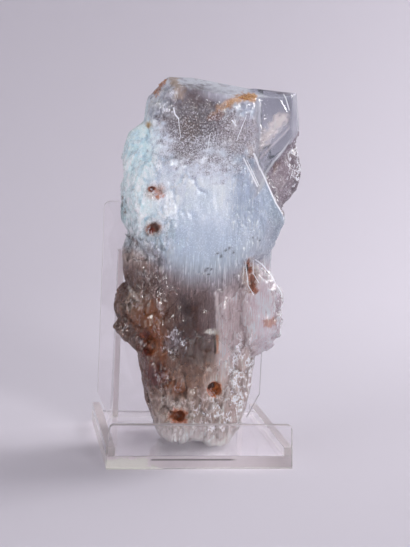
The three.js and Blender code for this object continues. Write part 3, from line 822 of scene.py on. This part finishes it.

# Painted white highlights along cracks and edges that catch the light, as (x, z) stops on the front with
# a width in millimetres
PAINTED_HIGHLIGHT_LINES = (
    ([(16.2, 124.2), (22.3, 112.9)], 0.9),
    ([(17.7, 123.4), (23.1, 113.2)], 0.6),
    ([EDGE_TOP, (26.5, 115.6), EDGE_BEND, (37.0, 98.6)], 1.0),
    ([(20.7, 126.0), (24.0, 119.5)], 0.8),
    ([(-13.1, 143.2), (-12.4, 140.6), (-10.9, 138.9)], 0.9),
    ([(11.2, 139.2), (12.9, 137.2)], 0.9),
    ([(33.7, 150.6), (35.6, 144.5)], 0.8),
    ([(-11.0, 138.9), (-9.8, 131.5)], 0.4),
    ([(2.4, 133.5), (1.2, 126.5)], 0.4),
    ([(23.2, 82.4), (26.5, 80.3), (30.2, 76.6), (34.8, 69.2)], 0.8),
    ([(18.8, 81.6), (19.6, 76.0), (20.0, 72.0), (22.0, 68.5)], 0.45),
    ([(13.4, 131.0), (17.2, 141.5)], 0.4),
    ([(22.6, 82.0), (22.0, 77.0), (24.0, 73.5)], 0.4),
)


def stored(tree, name, output="Fac"):
    return add_node(tree, "ShaderNodeAttribute", attribute_name=name).outputs[output]


def vectors(tree, operation, a, b=(0, 0, 0), scale=1.0, output=0):
    node = add_node(tree, "ShaderNodeVectorMath", {0: a, 1: b, 3: scale}, operation=operation)
    return node.outputs[output]


def stretched(tree, place, shares):
    return vectors(tree, "MULTIPLY", place, shares)


def changed(tree, shade, change):
    """The shade made lighter by this share of itself, or darker where it is negative."""
    return vectors(tree, "SCALE", shade, scale=plus(tree, 1.0, change))


def facets(tree, place, size):
    """Small flat facets of this size in millimetres: how far they stand out, and a random value each."""
    cells = add_node(tree, "ShaderNodeTexVoronoi", {"Vector": place, "Scale": 1 / size})
    tilt = vectors(tree, "SUBTRACT", cells.outputs["Color"], (0.5, 0.5, 0.5))
    offset = vectors(tree, "SUBTRACT", place, cells.outputs["Position"])
    height = vectors(tree, "DOT_PRODUCT", tilt, offset, output="Value")
    value = vectors(tree, "DOT_PRODUCT", cells.outputs["Color"], (1, 0, 0), output="Value")
    return height, value


def from_creases(tree, place, scale, roughness):
    """How far a noise is from its middle value, which it has on long winding lines."""
    folds = noise_value(tree, place, scale, detail=4.0, roughness=roughness)
    return maths(tree, "ABSOLUTE", maths(tree, "SUBTRACT", folds, 0.5))


def near_line(tree, place, start, end, width):
    """1 on the straight line between these two (x, z) places, and 0 from half the width off it."""
    first = Vector((start[0], 0, start[1]))
    reach = Vector((end[0], 0, end[1])) - first
    flat = vectors(tree, "SUBTRACT", stretched(tree, place, (1, 0, 1)), first)
    along = vectors(tree, "DOT_PRODUCT", flat, reach / reach.length_squared, output="Value")
    along = maths(tree, "ADD", along, 0.0, clamp=True)
    away = vectors(tree, "SUBTRACT", flat, vectors(tree, "SCALE", reach, scale=along))
    return ramp(tree, vectors(tree, "LENGTH", away, output="Value"), 0.5 * width, 0.2 * width)


def topaz_material():
    material, tree, shader = new_material("etched_topaz")
    place = object_place(tree)
    bend = add_node(tree, "ShaderNodeTexNoise", {"Vector": place, "Scale": 0.1, "Detail": 1.0})
    bend = vectors(tree, "SUBTRACT", bend.outputs["Color"], (0.5, 0.5, 0.5))
    bent = vectors(tree, "ADD", place, vectors(tree, "SCALE", bend, scale=BEND))
    slant = stretched(tree, bent, (1, 1, 0.55))
    streaks = noise_value(tree, stretched(tree, bent, (1.6, 1.6, 0.08)), 1.0, detail=3.0)
    thin = noise_value(tree, stretched(tree, place, (1.9, 1.9, 0.07)), 1.0, detail=2.0)
    grain = noise_value(tree, place, 1.6, detail=3.0)
    frost = noise_value(tree, place, 1.7, detail=2.0, roughness=0.7)
    broad_height, broad_value = facets(tree, slant, BROAD_FACET)
    small_height, small_value = facets(tree, slant, SMALL_FACET)
    speckle, striation, lines, hackly, painted_glint_zone = [
        stored(tree, name) for name in ("speckle", "striation", "lines", "hackly", "painted_glint_zone")
    ]

    # Painted light and shade: lighter and darker streaks, thin painted highlight lines, each facet
    # painted a little lighter or darker at random, and painted shade along the lines of folds
    shade = stored(tree, "tint", "Color")
    shade = changed(tree, shade, times(tree, lines, ramp(tree, streaks, 0.3, 0.7, -0.14, 0.14)))
    shade = changed(tree, shade, times(tree, lines, ramp(tree, thin, 0.56, 0.68, 0.0, 0.8)))
    broad_light = ramp(tree, broad_value, 0, 1, -0.3, 0.2)
    small_light = ramp(tree, small_value, 0, 1, -0.14, 0.14)
    shade = changed(tree, shade, times(tree, plus(tree, broad_light, small_light), hackly))
    from_fold = from_creases(tree, stretched(tree, bent, (1, 1, 0.6)), 0.55, 0.65)
    shade = changed(tree, shade, times(tree, ramp(tree, from_fold, 0.03, 0.005, 0.0, -0.4), hackly))
    shade = vectors(tree, "MINIMUM", shade, BRIGHTEST_SHADE)

    # White frost, painted glints and painted highlights on cracks, and dark specks
    white = times(tree, speckle, ramp(tree, frost, 0.5, 0.65, 0.0, 0.7))
    from_stroke = from_creases(tree, slant, 0.6, 0.62)
    lit_facets = ramp(tree, plus(tree, broad_value, times(tree, painted_glint_zone, 0.35)), 0.55, 0.65)
    painted_glint = times(tree, ramp(tree, from_stroke, 0.055, 0.028), lit_facets)
    painted_glint = maths(tree, "MULTIPLY", painted_glint, times(tree, painted_glint_zone, 1.6), clamp=True)
    white = maths(tree, "MAXIMUM", white, painted_glint)
    depth = vectors(tree, "DOT_PRODUCT", place, (0, 1, 0), output="Value")
    on_front = ramp(tree, depth, 2.0, -3.0)
    for stops, width in PAINTED_HIGHLIGHT_LINES:
        for start, end in zip(stops, stops[1:]):
            line = times(tree, near_line(tree, place, start, end, width), on_front)
            white = maths(tree, "MAXIMUM", white, line)
    dark = times(tree, speckle, ramp(tree, frost, 0.46, 0.34))
    shade = mixed_colour(tree, dark, shade, (*DARK_SPECK, 1))
    shade = mixed_colour(tree, white, shade, (*MILK, 1))
    put(tree, shade, shader.inputs["Base Color"])

    # Roughness, and clearness, which the white frost and the painted highlights take away
    uneven = ramp(tree, grain, 0.3, 0.7, -0.04, 0.06)
    roughness = maths(tree, "ADD", stored(tree, "etching"), uneven, clamp=True)
    put(tree, roughness, shader.inputs["Roughness"])
    covered = times(tree, white, 0.7)
    clear = maths(tree, "SUBTRACT", stored(tree, "clearness"), covered, clamp=True)
    put(tree, clear, shader.inputs["Transmission Weight"])
    put(tree, TOPAZ_IOR, shader.inputs["IOR"])

    # Ridges, flat chips and frosting, in millimetres
    ridge = times(tree, streaks, RIDGE_HEIGHT, striation)
    facet = times(tree, plus(tree, broad_height, small_height), times(tree, hackly, FACET_HEIGHT))
    frosting = times(tree, frost, times(tree, speckle, FROST_HEIGHT))
    height = plus(tree, plus(tree, ridge, facet), frosting)
    bump = add_node(tree, "ShaderNodeBump", {"Strength": 1.0, "Distance": 1.0 * MM, "Height": height})
    put(tree, bump.outputs[0], shader.inputs["Normal"])

    # Light that spreads inside the milky parts, and haze inside the clear ones
    milkiness = maths(tree, "SUBTRACT", 1.0, clear, clamp=True)
    put(tree, milkiness, shader.inputs["Subsurface Weight"])
    put(tree, (1.0, 1.0, 1.0), shader.inputs["Subsurface Radius"])
    put(tree, GLOW_REACH, shader.inputs["Subsurface Scale"])
    haze = add_node(tree, "ShaderNodeVolumeAbsorption", {
        "Color": HAZE_COLOUR, "Density": HAZE_DENSITY,
    })
    output = next(node for node in tree.nodes if node.type == "OUTPUT_MATERIAL")
    put(tree, haze.outputs[0], output.inputs["Volume"])
    return material


topaz.data.materials.append(topaz_material())
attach(topaz, "root")
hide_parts("topaz_crystal")


# Studio: a pale floor that curves up into a wall all round, a soft key light on the right and a
# little behind the stone, a light overhead, and weaker ones in front, on the left and far right.
FLOOR_GAP = 0.2 * MM
FLOOR_FLAT = 0.45
CURVE_RADIUS = 0.8
WALL_TOP = 1.3
FLOOR_SIDES = 96
FLAT_RINGS = 6
CURVE_RINGS = 30
PAPER_COLOUR = (0.597, 0.566, 0.628, 1)
PAPER_ROUGHNESS = 0.9
PAPER_SHINE = 0.1
AIR_COLOUR = (0.86, 0.85, 0.92, 1)
AIR_LIGHT = 0.1


def studio_floor():
    """A bowl with a flat bottom, made of rings round the stand."""
    rings = [(FLOOR_FLAT * k / FLAT_RINGS, 0.0) for k in range(1, FLAT_RINGS + 1)]
    for step in range(1, CURVE_RINGS + 1):
        turn = math.pi / 2 * step / CURVE_RINGS
        rings.append((FLOOR_FLAT + CURVE_RADIUS * math.sin(turn), CURVE_RADIUS * (1 - math.cos(turn))))
    rings.append((FLOOR_FLAT + CURVE_RADIUS, WALL_TOP))
    mesh = bmesh.new()
    centre = mesh.verts.new((0, 0, -FLOOR_GAP))
    turns = [2 * math.pi * k / FLOOR_SIDES for k in range(FLOOR_SIDES)]
    loops = []
    for radius, height in rings:
        loops.append([
            mesh.verts.new((radius * math.cos(t), radius * math.sin(t), height - FLOOR_GAP))
            for t in turns
        ])
    for k in range(FLOOR_SIDES):
        after = (k + 1) % FLOOR_SIDES
        mesh.faces.new((centre, loops[0][k], loops[0][after]))
        for lower, upper in zip(loops, loops[1:]):
            mesh.faces.new((lower[k], upper[k], upper[after], lower[after]))
    for face in mesh.faces:
        face.smooth = True
    return as_object(mesh, "studio_floor")


def soft_light(name, place, target, size, power):
    """A square lamp of this size in metres and power in watts, turned towards the target."""
    lamp = bpy.data.lights.new(name, "AREA")
    lamp.shape = "RECTANGLE"
    lamp.size = size
    lamp.size_y = size
    lamp.energy = power
    holder = bpy.data.objects.new(name, lamp)
    holder.location = place
    aim = Vector(target) - Vector(place)
    holder.rotation_euler = aim.to_track_quat("-Z", "Y").to_euler()
    holder.visible_camera = False
    bpy.context.scene.collection.objects.link(holder)


floor = studio_floor()
paper, tree, shader = new_material("studio_paper")
put(tree, PAPER_COLOUR, shader.inputs["Base Color"])
put(tree, PAPER_ROUGHNESS, shader.inputs["Roughness"])
put(tree, PAPER_SHINE, shader.inputs["Specular IOR Level"])
floor.data.materials.append(paper)

soft_light("key_light", (0.67, 0.30, 0.66), target=(0, 0, 0.05), size=0.24, power=4.5)
soft_light("top_light", (0.1, 0.1, 1.1), target=(0, 0, 0), size=0.8, power=3.0)
soft_light("front_light", (0.40, -0.95, 0.45), target=(0, 0, 0.08), size=0.2, power=3.9)
soft_light("left_light", (-0.8, -0.4, 0.24), target=(0, 0, 0.08), size=0.5, power=2.8)
soft_light("wall_light", (0.7, 0.7, 0.8), target=(0.6, 0.9, 0), size=0.5, power=3.2)

world = bpy.data.worlds.new("studio_air")
world.use_nodes = True
air = world.node_tree.nodes["Background"]
air.inputs["Color"].default_value = AIR_COLOUR
air.inputs["Strength"].default_value = AIR_LIGHT
bpy.context.scene.world = world

# Camera: at the photograph's angle, slightly above the stone and to its left
CAMERA_PLACE = (-0.08504, -0.52862, 0.14797)
CAMERA_RIGHT = Vector((0.9859, -0.1610, 0.0458))
CAMERA_FORWARD = Vector((0.1658, 0.9767, -0.1364))
SENSOR = 36.0
FOCAL_PIXELS = 1276.7
PHOTO_HEIGHT = 547
NEAREST_SEEN = 0.01

camera_up = CAMERA_RIGHT.cross(CAMERA_FORWARD).normalized()
camera_right = CAMERA_FORWARD.cross(camera_up).normalized()
camera_back = -CAMERA_FORWARD.normalized()
lens = bpy.data.cameras.new("camera")
lens.sensor_width = SENSOR
lens.lens = FOCAL_PIXELS / PHOTO_HEIGHT * SENSOR
lens.clip_start = NEAREST_SEEN
camera = bpy.data.objects.new("camera", lens)
camera.matrix_world = Matrix((
    (*camera_right, 0), (*camera_up, 0), (*camera_back, 0), (0, 0, 0, 1),
)).transposed()
camera.location = CAMERA_PLACE
bpy.context.scene.collection.objects.link(camera)
bpy.context.scene.camera = camera
bpy.context.scene.view_settings.view_transform = "Standard"
